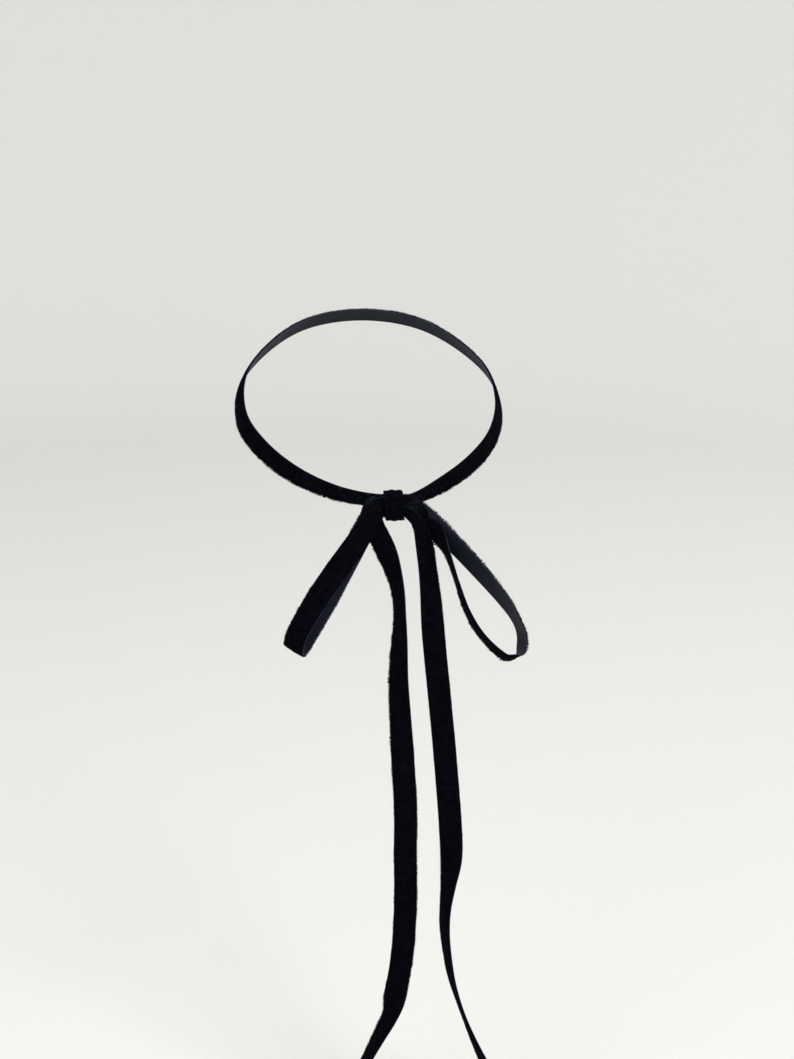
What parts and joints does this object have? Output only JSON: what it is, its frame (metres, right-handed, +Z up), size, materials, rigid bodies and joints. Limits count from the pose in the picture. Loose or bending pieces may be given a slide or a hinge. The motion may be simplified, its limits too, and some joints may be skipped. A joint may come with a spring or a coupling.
{
  "type": "choker necklace",
  "caption": "Velvet ribbon choker worn round a neck and tied in front in a bow with drooping loops and long hanging tails.",
  "frame": {"origin": "middle of the neck loop, where the neck that holds it passes through", "axes": "+Z up along the wearer, -Y out of the front where the bow is, +X to the viewer's right"},
  "size_m": [0.1198, 0.1567, 0.3146],
  "materials": {
    "velvet": "black-navy cut-pile velvet with a smooth dark slate satin back and woven selvedges"
  },
  "bodies": {
    "root": {"neck_band": "velvet", "bow_knot": "velvet", "bow_loop_left": "velvet", "bow_loop_right": "velvet", "tail_left": "velvet", "tail_right": "velvet"}
  },
  "joints": []
}
